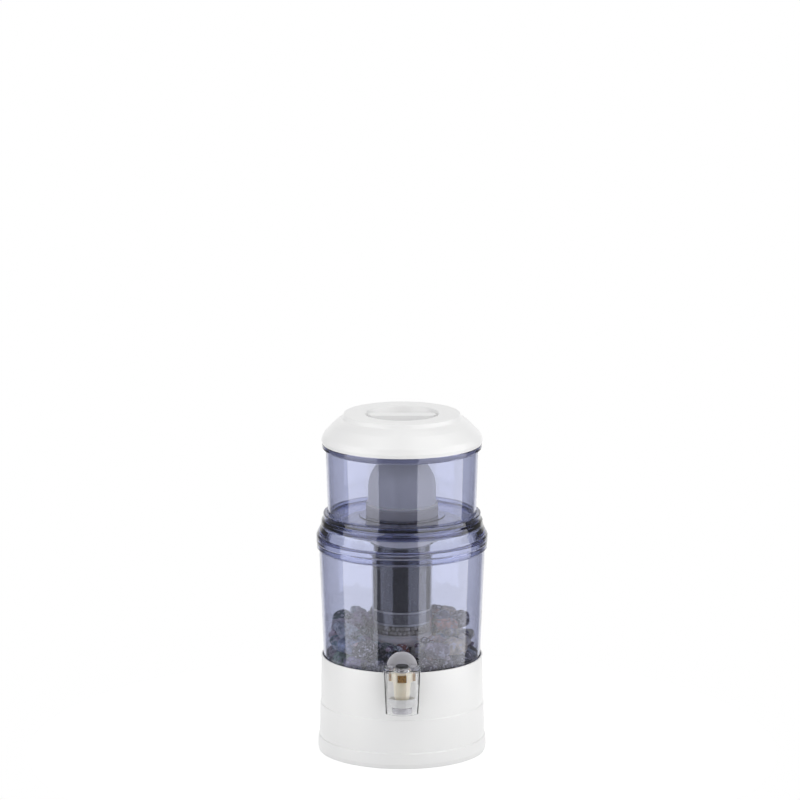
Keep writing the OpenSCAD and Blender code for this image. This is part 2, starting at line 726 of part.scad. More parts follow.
module cartridge_dish() color(CREAM) translate([0, 0, dish_z]) {
    foot = -step1_h - step2_h;
    turned([
        [step2_r, foot, 0.5],
        [step2_r, -step1_h, 1],
        [step1_r, -step1_h, 1.2],
        [step1_r, 0, 1],
        [dish_r, 0, 0.8],
        [dish_r, dish_rim_h, 1.2],
        [dish_r - 2.4, dish_rim_h, 0.8],
        [dish_r - 4, dish_wall, 3],
        [step1_r - dish_wall, dish_wall - 4, 4],
        [step1_r - dish_wall - 1, dish_wall - step1_h, 3],
        [step2_r - dish_wall, dish_wall - step1_h - 1, 2],
        [step2_r - dish_wall, foot + dish_wall, 0.5],
        [screen_r - 5, foot + dish_wall, 0.5],
        [screen_r - 5, foot, 0.5]
    ]);
}

module dish_gasket() color([0.9, 0.9, 0.88]) translate([0, 0, pocket_z]) turned([
    [opening_r + 1.5, 0, 0.3],
    [dish_r - 0.5, 0, 0.3],
    [dish_r - 0.5, dish_gasket_t, 0.3],
    [opening_r + 1.5, dish_gasket_t, 0.3]
]);

// Perforated plate that keeps the media in where the water enters
module inlet_screen() color(WHITE) translate([0, 0, screen_z - screen_t]) difference() {
    cylinder(r = screen_r, h = screen_t);
    for (ring = [1:3], i = [0:6 * ring - 1]) rotate(360 * i / (6 * ring))
        translate([ring * 14, 0, -CLEAR]) cylinder(r = 2.2, h = screen_t + 2 * CLEAR);
}

// Radius inside the media tube at a depth below its flange
function tube_in(depth) = tube_top_r + (tube_foot_r - tube_top_r) * depth / tube_l - tube_wall;

module cartridge_tube() color([0.85, 0.88, 0.92, 0.35]) translate([0, 0, tube_z]) turned([
    [tube_in(tube_l), -tube_l, 0],
    [tube_foot_r, -tube_l, 0.4],
    [tube_top_r, -tube_flange_h - 0.5, 1],
    [step2_r - 0.5, -tube_flange_h, 0.6],
    [step2_r - 0.5, 0, 0.6],
    [tube_top_r - tube_wall, 0, 0.4]
]);

// A disc of filling inside the tube, from one depth below the flange to the next
module tube_filling(top, foot) translate([0, 0, tube_z])
    rotate_extrude() polygon([
        [0, -foot], [tube_in(foot) - seat_gap, -foot], [tube_in(top) - seat_gap, -top], [0, -top]
    ]);

carbon_top = felt_t;
silica_top = carbon_top + carbon_h + felt_t;
balls_top = silica_top + silica_h + felt_t;

module upper_felt() color([0.92, 0.92, 0.9]) tube_filling(0, felt_t);
module carbon_bed() color([0.2, 0.2, 0.24]) tube_filling(carbon_top, carbon_top + carbon_h);
module middle_felt() color([0.9, 0.9, 0.88]) tube_filling(carbon_top + carbon_h, silica_top);
module silica_bed() color([0.48, 0.48, 0.5]) tube_filling(silica_top, silica_top + silica_h);
module lower_felt() color([0.9, 0.9, 0.88]) tube_filling(silica_top + silica_h, balls_top);

// Loose mineral balls: layers of rings, each layer half a step round from the one below
module mineral_balls() color([0.9, 0.88, 0.8]) {
    floor_z = tube_foot_z + cap_spigot_h;
    room = tube_z - balls_top - floor_z;
    layers = floor(room / (ball_d + 0.1));
    pitch = room / layers;
    for (k = [0:layers - 1]) {
        r = tube_in(tube_l) - ball_d / 2 - 0.25;
        count = floor(180 / asin((ball_d + 0.1) / (2 * r)));
        for (i = [0:count - 1]) rotate(360 * (i + 0.5 * k) / count)
            translate([r, 0, floor_z + pitch * (k + 0.5)]) sphere(d = ball_d);
    }
}

module cartridge_cap() color(WHITE) {
    translate([0, 0, tube_foot_z]) difference() {
        turned([
            [0, -cap_h, 0],
            [tube_foot_r - 1.5, -cap_h, 2],
            [tube_foot_r, 0, 0.4],
            [tube_in(tube_l) - seat_gap, 0, 0],
            [tube_in(tube_l) - seat_gap, cap_spigot_h, 0.4],
            [0, cap_spigot_h, 0]
        ]);
        for (ring = [1:2], i = [0:6 * ring - 1]) rotate(360 * i / (6 * ring))
            translate([ring * 15, 0, -cap_h - CLEAR]) cylinder(r = 2.2, h = cap_h + cap_spigot_h + 2 * CLEAR);
    }
}

// ---- upper tank ----

module upper_tank() color(TANK_BLUE) translate([0, 0, upper_z]) {
    floor_top = skirt_h + upper_floor;
    turned([
        [stem_hole_r, skirt_h, 0],
        [upper_bottom_r - tank_wall - 1, skirt_h, 1],
        [upper_bottom_r - tank_wall, 0, 0.5],
        [upper_bottom_r, 0, 1.2],
        [upper_top_r, upper_h - rim_h, 1],
        [upper_rim_r, upper_h - rim_h + 3, 1.5],
        [upper_rim_r, upper_h, 1.2],
        [upper_top_r - tank_wall, upper_h, 1.2],
        [upper_bottom_r - tank_wall, floor_top, 4],
        [platform_r + 1.5, floor_top, 0.6],
        [platform_r, floor_top + platform_h, 0.6],
        [platform_recess_r, floor_top + platform_h, 0.4],
        [platform_recess_r - 1.5, floor_top, 0.4],
        [stem_hole_r, floor_top, 0]
    ]);
}

// ---- dome filter ----

module ceramic_dome() color([0.96, 0.96, 0.95]) translate([0, 0, dome_z + dome_ring_h]) difference() {
    dome_form(dome_r, dome_straight, 1.4);
    translate([0, 0, -CLEAR]) dome_form(dome_r - ceramic_wall, dome_straight + CLEAR, 0);
}

// A straight cylinder with a half ball on top, and a flared foot
module dome_form(r, straight, flare) {
    cylinder(r = r, h = straight);
    intersection() {
        translate([0, 0, straight]) sphere(r = r);
        translate([0, 0, straight - 0.01]) cylinder(r = r + 1, h = r + 1);
    }
    if (flare > 0) cylinder(r1 = r + flare, r2 = r, h = 6);
}

// Granular carbon packed inside the ceramic
module dome_carbon() color([0.15, 0.15, 0.16]) translate([0, 0, dome_z + dome_ring_h])
    dome_form(dome_r - ceramic_wall - 0.3, dome_straight - 6, 0);

// Cream bead of sealant between the ceramic and its base
module dome_seal() color([0.93, 0.92, 0.88]) translate([0, 0, dome_z + dome_ring_h]) turned([
    [dome_r + 1.5, 0, 0],
    [dome_ring_r - 1, 0, 0.5],
    [dome_ring_r - 0.6, 2.5, 1],
    [dome_r + 0.9, 4.4, 0.3],
    [dome_r + 1.5, 0.4, 0]
]);

// Moulded base: a shallow cup with the hollow stem under it
module dome_base() color([0.74, 0.73, 0.71]) translate([0, 0, dome_z]) difference() {
    turned([
        [0, -stem_l, 0],
        [stem_r, -stem_l, 1.2],
        [stem_r, 0, 0],
        [dome_ring_r - 1, 0, 1.5],
        [dome_ring_r, 4, 1],
        [dome_ring_r - 0.5, dome_ring_h, 1],
        [0, dome_ring_h, 0]
    ]);
    // The stem's bore and the water way up into the dome
    translate([0, 0, -stem_l - CLEAR]) cylinder(r = stem_bore_r, h = stem_l + dome_ring_h + 2 * CLEAR);
    // A groove round the ring's side
    translate([0, 0, dome_ring_h - 5]) difference() {
        cylinder(r = dome_ring_r + 1, h = 1.2);
        translate([0, 0, -CLEAR]) cylinder(r = dome_ring_r - 1.2, h = 1.2 + 2 * CLEAR);
    }
}

module dome_gasket() color([0.9, 0.9, 0.88]) translate([0, 0, upper_floor_z]) difference() {
    cylinder(r = washer_r, h = platform_h);
    translate([0, 0, -CLEAR]) cylinder(r = stem_r + seat_gap, h = platform_h + 2 * CLEAR);
}

// Washer and wing nut under the floor, left on the tank when the dome is lifted out
module stem_washer() color([0.9, 0.9, 0.88]) translate([0, 0, upper_z + skirt_h - washer_t]) difference() {
    cylinder(r = washer_r, h = washer_t);
    translate([0, 0, -CLEAR]) cylinder(r = stem_r + run_gap, h = washer_t + 2 * CLEAR);
}

module wing_nut() color(WHITE) translate([0, 0, upper_z + skirt_h - washer_t - wing_nut_h]) difference() {
    union() {
        turned([
            [0, 0, 0],
            [stem_r + 3, 0, 1],
            [stem_r + 5, wing_nut_h - 2, 1],
            [stem_r + 5, wing_nut_h, 0.4],
            [0, wing_nut_h, 0]
        ]);
        for (s = [0, 180]) rotate(s) translate([stem_r + 1, 1.7, 0]) rotate([90, 0, 0])
            linear_extrude(3.4) polygon(rounded([
                [0, 0, 0],
                [wing_reach - stem_r - 5, -2, 3],
                [wing_reach - stem_r - 1, wing_nut_h - 3, 3],
                [0, wing_nut_h - 1, 0]
            ]));
    }
    translate([0, 0, -CLEAR]) cylinder(r = stem_r + run_gap, h = wing_nut_h + 2 * CLEAR);
}

// ---- lid ----

module lid() color(WHITE) translate([0, 0, lid_z]) {
    w = lid_wall;
    turned([
        [lid_ring_r, 0, 0],
        [lid_r - 1.5, 0, 0.8],
        [lid_r, 6, 3],
        [lid_r - 3, lid_h * 0.30, 10],
        [lid_r - 19, lid_h * 0.66, 14],
        [lid_top_r + 9, lid_h * 0.79, 6],
        [lid_top_r + 3.4, lid_h * 0.86, 5],
        [lid_top_r, lid_h, 2],
        [well_r + 3, lid_h, 3],
        [well_r - 3, lid_h - well_depth, 4],
        [0, lid_h - well_depth, 0],
        [0, lid_h - well_depth - w, 0],
        [well_r - 3 + w, lid_h - well_depth - w, 4],
        [well_r + 2 + w, lid_h - w, 2],
        [lid_top_r - w, lid_h - w, 2],
        [lid_top_r + 3.4 - w, lid_h * 0.86 - w, 4],
        [lid_r - 20, lid_h * 0.66 - w, 10],
        [lid_r - 3 - w, lid_h * 0.30 - w, 8],
        [lid_r - 2 - w, w, 0.8],
        [lid_ring_r, w, 0],
        [lid_ring_r - w, w, 0.6],
        [lid_ring_r - w, -lid_ring_h, 0.6],
        [lid_ring_r, -lid_ring_h, 1]
    ]);
    // Grip across the finger well, level with the top
    intersection() {
        translate([0, 0, lid_h - well_depth - 0.5]) linear_extrude(well_depth - 1.5) union() {
            square([grip_l, grip_w], center = true);
            for (s = [-1, 1]) translate([s * grip_l / 2, 0]) circle(d = grip_w);
        }
        translate([0, 0, lid_h - well_depth - 1])
            cylinder(r1 = well_r - 3, r2 = well_r + 1, h = well_depth + 2);
    }
}

base_stand();
stand_ribs();
lower_tank();
mineral_stones();
tap_body();
tap_outer_gasket();
tap_inner_gasket();
tap_back_nut();
tap_bonnet();
tap_core();
tap_magnets();
tap_spout_cup();
tap_nozzle();
tap_pivot_pins();
tap_spring();
valve_stem();
valve_seal();
stem_cap();
tap_hood();
tank_collar();
cartridge_dish();
dish_gasket();
inlet_screen();
cartridge_tube();
upper_felt();
carbon_bed();
middle_felt();
silica_bed();
lower_felt();
mineral_balls();
cartridge_cap();
upper_tank();
ceramic_dome();
dome_carbon();
dome_seal();
dome_base();
dome_gasket();
stem_washer();
wing_nut();
lid();
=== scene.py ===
import math
import random

import bmesh
import bpy
from mathutils import Matrix, Vector, noise


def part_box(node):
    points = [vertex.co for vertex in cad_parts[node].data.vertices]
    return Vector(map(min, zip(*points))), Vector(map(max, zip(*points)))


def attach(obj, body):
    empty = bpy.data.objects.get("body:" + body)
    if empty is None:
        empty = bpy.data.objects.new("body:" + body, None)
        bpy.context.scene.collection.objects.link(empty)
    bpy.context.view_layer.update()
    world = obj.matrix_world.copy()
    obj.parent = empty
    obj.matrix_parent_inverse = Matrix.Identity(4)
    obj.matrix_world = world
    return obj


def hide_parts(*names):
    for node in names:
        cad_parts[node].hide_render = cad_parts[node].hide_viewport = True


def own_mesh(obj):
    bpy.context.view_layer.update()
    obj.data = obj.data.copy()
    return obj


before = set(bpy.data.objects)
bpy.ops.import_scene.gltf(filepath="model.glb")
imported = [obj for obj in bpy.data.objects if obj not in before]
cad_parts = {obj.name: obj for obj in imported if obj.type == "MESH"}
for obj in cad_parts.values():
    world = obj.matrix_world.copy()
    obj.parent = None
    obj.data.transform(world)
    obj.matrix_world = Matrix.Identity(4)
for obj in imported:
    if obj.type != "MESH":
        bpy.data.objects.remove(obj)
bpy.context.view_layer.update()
MM = 0.001  # sizes below are in millimetres, and Blender's are in metres


# ---- Stand ----
# The stand is a hollow drum of white polypropylene, moulded in one shot with a foot band, a belt
# and a recessed deck on eight ribs. The lower tank drops into the recess.

def linear(code):
    """A shader's linear colour from an sRGB hex code."""
    parts = [int(code[i:i + 2], 16) / 255 for i in (1, 3, 5)]
    return [p / 12.92 if p <= 0.04045 else ((p + 0.055) / 1.055) ** 2.4 for p in parts] + [1.0]


def feed(tree, node, **inputs):
    """Gives sockets values or links. An underscore is a space, or comes before a socket's number."""
    for name, value in inputs.items():
        socket = node.inputs[int(name[1:]) if name[0] == "_" else name.replace("_", " ")]
        if isinstance(value, bpy.types.NodeSocket):
            tree.links.new(value, socket)
        else:
            socket.default_value = value
    return node


def add(tree, kind, settings=(), **inputs):
    """Adds one node with its settings, values and links."""
    node = tree.nodes.new("ShaderNode" + kind)
    for name, value in settings:
        setattr(node, name, value)
    return feed(tree, node, **inputs)


def finish(name, **inputs):
    """A new material, its node tree, its Principled shader and its Object coordinates."""
    material = bpy.data.materials.new(name)
    material.use_nodes = True
    tree = material.node_tree
    shader = feed(tree, tree.nodes["Principled BSDF"], **inputs)
    return material, tree, shader, add(tree, "TexCoord").outputs["Object"]


def dress(material, *names):
    """Gives CAD nodes their finish."""
    for name in names:
        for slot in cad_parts[name].material_slots:
            slot.material = material


# Injection moulded polypropylene: opaque white with a satin gloss, faintly uneven like fine orange
# peel where the melt cooled, and a shade warmer or cooler here and there.
white_plastic, tree, shader, place = finish("moulded polypropylene", IOR=1.49, Specular_IOR_Level=0.5)
cloud = add(tree, "TexNoise", Vector=place, Scale=1 / (70 * MM), Detail=2.0)
tone = add(tree, "Mix", [("data_type", "RGBA")], _0=cloud.outputs[0],
           _6=linear("#EBEBEC"), _7=linear("#F1F1F0"))
peel = add(tree, "TexNoise", Vector=place, Scale=1 / (2.2 * MM), Detail=3.0, Roughness=0.6)
sheen = add(tree, "MapRange", Value=peel.outputs[0], To_Min=0.26, To_Max=0.36)
relief = add(tree, "Bump", Height=peel.outputs[0], Strength=0.05, Distance=0.4 * MM)
feed(tree, shader, Base_Color=tone.outputs[2], Roughness=sheen.outputs[0], Normal=relief.outputs[0])
dress(white_plastic, "base_stand", "stand_ribs")


# ---- Tanks and collar ----
# The two tanks and the collar between them are blow-clear styrene-acrylonitrile with a blue-violet
# dye, moulded 3 mm thick. The collar's skirt drops into the lower tank and the upper tank sits in it.

def let_lamps_in(tree, tint):
    """Rays on their way to a lamp go straight through a clear wall, so that what is behind it is lit."""
    out = tree.nodes["Material Output"]
    clear = add(tree, "BsdfTransparent", Color=tint)
    lamp_ray = add(tree, "LightPath").outputs["Is Shadow Ray"]
    both = add(tree, "MixShader", _0=lamp_ray,
               _1=tree.nodes["Principled BSDF"].outputs[0], _2=clear.outputs[0])
    feed(tree, out, Surface=both.outputs[0])


# Dyed styrene-acrylonitrile: a thin wall is a pale smoky blue and the rims and corners, where the
# eye looks along the wall, are deep blue-violet, so part of the colour is in the volume. The collar
# is moulded from a paler batch, which keeps its thick bead from looking black.
for name, skin, dye_strength, nodes in (
        ("blue styrene-acrylonitrile", (0.77, 0.79, 0.86, 1), 62.0, ("lower_tank", "upper_tank")),
        ("pale blue styrene-acrylonitrile", (0.72, 0.75, 0.85, 1), 36.0, ("tank_collar",))):
    tank_plastic, tree, shader, place = finish(name, Base_Color=skin, IOR=1.55, Transmission_Weight=1.0)
    ripple = add(tree, "TexNoise", Vector=place, Scale=1 / (45 * MM), Detail=2.0)
    polish = add(tree, "MapRange", Value=ripple.outputs[0], To_Min=0.01, To_Max=0.05)
    flow = add(tree, "Bump", Height=ripple.outputs[0], Strength=0.15, Distance=1.5 * MM)
    feed(tree, shader, Roughness=polish.outputs[0], Normal=flow.outputs[0])
    let_lamps_in(tree, (0.90, 0.905, 0.93, 1))
    dye = add(tree, "VolumeAbsorption", Color=(0.32, 0.35, 0.70, 1), Density=dye_strength)
    feed(tree, tree.nodes["Material Output"], Volume=dye.outputs[0])
    dress(tank_plastic, *nodes)


# ---- Mineral stones ----
# A bed of broken mineral rock lies on the lower tank's floor round the tap's nut: grey crystal,
# dark basalt, red-brown jasper and pinkish feldspar, each a chipped lump about 35 mm across.

def shaped(bm, name, material, smooth=35):
    """Makes a bmesh an object in place, smooth except at edges sharper than that angle."""
    mesh = bpy.data.meshes.new(name)
    bm.to_mesh(mesh)
    bm.free()
    mesh.materials.append(material)
    mesh.shade_smooth()
    mesh.set_sharp_from_angle(angle=math.radians(smooth))
    thing = bpy.data.objects.new(name, mesh)
    bpy.context.scene.collection.objects.link(thing)
    return thing


def chipped(bm, centre, size, seed, detail, tone, spare=1.4):
    """Adds one lump to bm: a ball with flat chips struck off it, larger by spare for what they take off."""
    draw = random.Random(seed)
    made = bmesh.ops.create_icosphere(bm, subdivisions=detail, radius=1.0)["verts"]
    turn = Matrix.Rotation(draw.uniform(0, 6.28), 3, "Z")
    chips = []
    for _ in range(13):
        facing = Vector((draw.gauss(0, 1), draw.gauss(0, 1), draw.gauss(0, 1))).normalized()
        chips.append((facing, draw.uniform(0.52, 0.84)))
    shift = Vector((draw.uniform(0, 50), draw.uniform(0, 50), draw.uniform(0, 50)))
    for vert in made:
        point = vert.co.copy()
        for facing, depth in chips:
            over = point.dot(facing) - depth
            if over > 0:
                point -= facing * over
        point *= 1.0 + 0.07 * noise.fractal(point * 2.2 + shift, 0.9, 2.1, 4)
        point += noise.noise_vector(point * 9 + shift) * 0.045
        point = turn @ point
        vert.co = centre + Vector((point.x * size[0], point.y * size[1], point.z * size[2])) * spare
    shade = bm.verts.layers.float_color["stone_tone"]
    for vert in made:
        vert[shade] = tone
    return made


# The solids give each stone's place and size
beds = bmesh.new()
beds.from_mesh(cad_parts["mineral_stones"].data)
bmesh.ops.remove_doubles(beds, verts=beds.verts, dist=1e-6)
lumps, seen = [], set()
for start in beds.verts:
    if start in seen:
        continue
    island, front = [], [start]
    seen.add(start)
    while front:
        vert = front.pop()
        island.append(vert.co.copy())
        for edge in vert.link_edges:
            other = edge.other_vert(vert)
            if other not in seen:
                seen.add(other)
                front.append(other)
    low = Vector([min(p[k] for p in island) for k in range(3)])
    high = Vector([max(p[k] for p in island) for k in range(3)])
    lumps.append(((low + high) / 2, (high - low) / 2))
beds.free()

# More stones heaped on the back of the bed, and chips that have worked into its gaps
draw = random.Random(7)
for angle, ring, z, size in [
        (52, 96, 204, 15), (74, 92, 209, 16), (93, 84, 216, 14), (96, 104, 207, 14), (113, 90, 208, 15),
        (134, 97, 203, 14), (155, 98, 200, 12), (84, 68, 200, 13), (105, 66, 198, 12), (30, 97, 200, 12)]:
    at = Vector((ring * math.cos(math.radians(angle)), ring * math.sin(math.radians(angle)), z)) * MM
    lumps.append((at, Vector((size, size * 0.9, size * 0.72)) * MM))
for height, ring, half, spread in [(178, 80, 15, 78), (194, 78, 15, 66), (204, 80, 13, 50)]:
    for k in range(-3, 4):
        angle = math.radians(90 + spread * k / 3 + draw.uniform(-5, 5))
        at = Vector((ring * math.cos(angle), ring * math.sin(angle), height)) * MM
        lumps.append((at, Vector((half, half * 0.85, half * 0.75)) * MM))
for _ in range(70):
    angle = draw.uniform(-200, 20)
    height = draw.choice((149, 168, 190))
    ring = draw.uniform(60, 112) if height > 150 else draw.uniform(100, 113)
    if abs(angle + 90) < 18 and height < 185:
        continue
    size = draw.uniform(4, 8)
    at = Vector((ring * math.cos(math.radians(angle)), ring * math.sin(math.radians(angle)), height)) * MM
    lumps.append((at, Vector((size, size * 0.8, size * 0.7)) * MM))

tones = {"crystal": "#CFCDD2", "basalt": "#827E88", "jasper": "#8C6258", "plum": "#655660",
         "feldspar": "#E2D2C8", "slate": "#A2A5B0"}
bands = [(-62, ["crystal", "crystal", "slate"]), (-8, ["basalt", "basalt", "slate"]),
         (22, ["jasper", "plum", "basalt"]), (48, ["plum", "jasper", "feldspar"]),
         (82, ["feldspar", "feldspar", "slate"]), (200, ["slate", "basalt", "crystal"])]
bm = bmesh.new()
bm.verts.layers.float_color.new("stone_tone")
for index, (centre, half) in enumerate(lumps):
    kinds = next(names for edge, names in bands if centre.x < edge * MM)
    kind = draw.choice(kinds if draw.random() < 0.8 else list(tones))
    tone = [part * draw.uniform(0.8, 1.15) for part in linear(tones[kind])[:3]] + [1.0]
    chipped(bm, centre, half, index, 3 if half.x > 9 * MM else 2, tone)
tank_floor, cartridge_foot, cartridge_side = 144.3 * MM, 175.4 * MM, 52 * MM
tank_foot, wall_foot_r, wall_lean = 140 * MM, 121.0 * MM, 7.5 / 190
corner_top, corner_slope = 148 * MM, 0.6
nut_low, nut_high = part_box("tap_back_nut")
nut_middle = (nut_low + nut_high) / 2
nut_room = (nut_high.z - nut_low.z) / 2 + 1 * MM
for vert in bm.verts:
    # Nothing goes through the tank's floor or wall, or into the room that the cartridge hangs in
    vert.co.z = max(vert.co.z, tank_floor)
    side = math.hypot(vert.co.x, vert.co.y)
    limit = wall_foot_r + wall_lean * (vert.co.z - tank_foot) - corner_slope * max(0, corner_top - vert.co.z)
    if side > limit:
        vert.co.xy *= limit / side
    if side < cartridge_side and vert.co.z > cartridge_foot:
        if cartridge_side - side < vert.co.z - cartridge_foot:
            vert.co.xy *= cartridge_side / side
        else:
            vert.co.z = cartridge_foot
    # The tap's nut has room round it
    off = Vector((vert.co.x - nut_middle.x, 0, vert.co.z - nut_middle.z))
    if vert.co.y < nut_high.y + 1 * MM and 1e-6 < off.length < nut_room:
        vert.co += off.normalized() * (nut_room - off.length)

# Broken rock: matt in the mass, with darker veins and glossier grains of crystal whose glints are painted
# into the base colour as pale spots.
broken_rock, tree, shader, place = finish("broken mineral rock", IOR=1.54, Specular_IOR_Level=0.5)
own = add(tree, "Attribute", [("attribute_name", "stone_tone")])
mottle = add(tree, "TexNoise", Vector=place, Scale=1 / (9 * MM), Detail=5.0, Roughness=0.65)
vein = add(tree, "MapRange", Value=mottle.outputs[0], From_Min=0.34, From_Max=0.66, To_Min=0.30, To_Max=1.40)
dark = add(tree, "Mix", [("data_type", "RGBA"), ("blend_type", "MULTIPLY")], _0=1.0, _6=own.outputs["Color"])
tree.links.new(vein.outputs[0], dark.inputs[7])
grain = add(tree, "TexVoronoi", Vector=place, Scale=1 / (3.0 * MM))
spark = add(tree, "SeparateColor", Color=grain.outputs["Color"])
painted_glint = add(tree, "MapRange", Value=spark.outputs[0], From_Min=0.74, From_Max=0.84, To_Min=0.0, To_Max=0.85)
# The pale grains are painted glints: base colour standing in for highlights off crystal faces; their lower
# roughness below is real gloss.
crystal = add(tree, "Mix", [("data_type", "RGBA")], _0=painted_glint.outputs[0],
              _6=dark.outputs[2], _7=linear("#D9D7DE"))
gloss = add(tree, "MapRange", Value=spark.outputs[1], From_Min=0.6, From_Max=0.9, To_Min=0.75, To_Max=0.22)
rough = add(tree, "Bump", Height=mottle.outputs[0], Strength=0.6, Distance=1.2 * MM)
facet = add(tree, "Bump", Height=spark.outputs[2], Strength=0.35, Distance=0.4 * MM, Normal=rough.outputs[0])
feed(tree, shader, Base_Color=crystal.outputs[2], Roughness=gloss.outputs[0], Normal=facet.outputs[0])
stones = shaped(bm, "stone_bed", broken_rock, smooth=28)
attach(stones, "lower_tank")
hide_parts("mineral_stones")


# ---- Tap body, nut and nozzle ----
# The tap's body, its back nut and the nozzle under the cup are natural polycarbonate, milky where
# they are thick. The body's shank goes through the tank wall and the nut clamps it from inside.

# Natural polycarbonate: water-clear but milky in thick sections, with a soft moulded skin.
milky_plastic, tree, shader, place = finish(
    "milky polycarbonate", Base_Color=(0.70, 0.69, 0.74, 1), IOR=1.58, Transmission_Weight=0.5)
haze = add(tree, "TexNoise", Vector=place, Scale=1 / (6 * MM), Detail=3.0)
skin = add(tree, "MapRange", Value=haze.outputs[0], To_Min=0.14, To_Max=0.30)
relief = add(tree, "Bump", Height=haze.outputs[0], Strength=0.08, Distance=0.3 * MM)
feed(tree, shader, Roughness=skin.outputs[0], Normal=relief.outputs[0])
let_lamps_in(tree, (0.86, 0.86, 0.87, 1))
dress(milky_plastic, "tap_body", "tap_back_nut", "tap_nozzle")

# ---- Tap gaskets and valve seal ----
# Flat rings of black nitrile rubber seal the shank on both sides of the wall, and a disc of the
# same rubber under the valve's piston closes the seat.

# Nitrile rubber: near black and matt, with a faint grey bloom.
black_rubber, tree, shader, place = finish("nitrile rubber", IOR=1.52, Specular_IOR_Level=0.4)
bloom = add(tree, "TexNoise", Vector=place, Scale=1 / (5 * MM), Detail=4.0)
tone = add(tree, "Mix", [("data_type", "RGBA")], _0=bloom.outputs[0],
           _6=linear("#1A1A1C"), _7=linear("#2B2B2E"))
relief = add(tree, "Bump", Height=bloom.outputs[0], Strength=0.2, Distance=0.2 * MM)
feed(tree, shader, Base_Color=tone.outputs[2], Roughness=0.7, Normal=relief.outputs[0])
dress(black_rubber, "tap_outer_gasket", "tap_inner_gasket", "valve_seal")

# ---- Tap core, cup and bonnet ----
# The core is a cream ABS column that slides up over the barrel and carries the magnets on its hub.
# The white cup round its foot gathers the stream, and the bonnet closes the barrel's top.

# Cream ABS: warm, glossy and slightly uneven in tone.
cream_plastic, tree, shader, place = finish(
    "cream ABS", IOR=1.53, Subsurface_Weight=0.08, Subsurface_Scale=2 * MM)
cloud = add(tree, "TexNoise", Vector=place, Scale=1 / (12 * MM), Detail=2.0)
tone = add(tree, "Mix", [("data_type", "RGBA")], _0=cloud.outputs[0],
           _6=linear("#F1E6CD"), _7=linear("#F8F1DF"))
relief = add(tree, "Bump", Height=cloud.outputs[0], Strength=0.05, Distance=0.5 * MM)
feed(tree, shader, Base_Color=tone.outputs[2], Roughness=0.28, Normal=relief.outputs[0])
dress(cream_plastic, "tap_core")
dress(white_plastic, "tap_spout_cup", "tap_bonnet")

# ---- Magnets ----
# Three block magnets sit in the hub, plated with nickel and a gold-coloured flash.

# Gilt nickel plate: bright and warm with fine lines from tumbling.
gilt_plate, tree, shader, place = finish("gilt nickel plate", Metallic=1.0)
stretch = add(tree, "Mapping", Vector=place, Scale=(1.0, 1.0, 0.08))
lines = add(tree, "TexNoise", Vector=stretch.outputs[0], Scale=1 / (0.5 * MM), Detail=3.0)
tone = add(tree, "Mix", [("data_type", "RGBA")], _0=lines.outputs[0],
           _6=linear("#A87B45"), _7=linear("#D3AA6C"))
wear = add(tree, "MapRange", Value=lines.outputs[0], To_Min=0.18, To_Max=0.36)
feed(tree, shader, Base_Color=tone.outputs[2], Roughness=wear.outputs[0])
dress(gilt_plate, "tap_magnets")

# ---- Pivot pins and valve spring ----
# Two headed pins carry the hood, and a coil spring in the barrel presses the valve shut. Both are
# stainless steel, the spring wound from 1.1 mm wire.

# Drawn stainless steel: bright, with fine drawing lines round it.
steel_wire, tree, shader, place = finish("stainless wire", Metallic=1.0)
draw_lines = add(tree, "TexNoise", Vector=place, Scale=1 / (0.6 * MM), Detail=2.0)
tone = add(tree, "Mix", [("data_type", "RGBA")], _0=draw_lines.outputs[0],
           _6=linear("#A9ABAF"), _7=linear("#C9CBCE"))
wear = add(tree, "MapRange", Value=draw_lines.outputs[0], To_Min=0.2, To_Max=0.34)
feed(tree, shader, Base_Color=tone.outputs[2], Roughness=wear.outputs[0])
dress(steel_wire, "tap_pivot_pins")

low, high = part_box("tap_spring")
wire_r = 0.55 * MM
coil_r = (high.x - low.x) / 2 - wire_r
coil_turns, coil_steps = 6, 28
rise = (high.z - low.z - 2 * wire_r) / (coil_turns * coil_steps)
bm = bmesh.new()
ring = bmesh.ops.create_circle(bm, segments=10, radius=wire_r)["verts"]
bmesh.ops.rotate(bm, verts=ring, matrix=Matrix.Rotation(math.pi / 2, 3, "X"))
bmesh.ops.translate(bm, verts=ring, vec=(coil_r, 0, 0))
start_rim = list(bm.edges)
spun = bmesh.ops.spin(bm, geom=start_rim, cent=(0, 0, 0), axis=(0, 0, 1), dvec=(0, 0, rise),
                      angle=2 * math.pi * coil_turns, steps=coil_turns * coil_steps)
bmesh.ops.contextual_create(bm, geom=start_rim)
bmesh.ops.contextual_create(bm, geom=[g for g in spun["geom_last"] if isinstance(g, bmesh.types.BMEdge)])
middle = (low + high) / 2
bmesh.ops.translate(bm, verts=bm.verts, vec=(middle.x, middle.y, low.z + wire_r))
bmesh.ops.recalc_face_normals(bm, faces=bm.faces)
spring = shaped(bm, "valve_spring", steel_wire, smooth=60)
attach(spring, "lower_tank")
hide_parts("tap_spring")
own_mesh(spring)

# ---- Valve stem and its cap ----
# A white acetal rod lifts the seal. Its black cap has the hood's fork under it.

dress(white_plastic, "valve_stem")
# Black acetal: smooth, dense and slightly waxy.
black_plastic, tree, shader, place = finish("black acetal", IOR=1.48)
cloud = add(tree, "TexNoise", Vector=place, Scale=1 / (3 * MM), Detail=3.0)
tone = add(tree, "Mix", [("data_type", "RGBA")], _0=cloud.outputs[0],
           _6=linear("#121214"), _7=linear("#1D1D20"))
feed(tree, shader, Base_Color=tone.outputs[2], Roughness=0.35)
dress(black_plastic, "stem_cap")

# ---- Hood ----
# The hood is a cover and a lever in one, moulded in clear acrylic with a thick wall and polished
# inside and out. It hangs on the two pins and its fork lifts the stem when its foot is pushed.

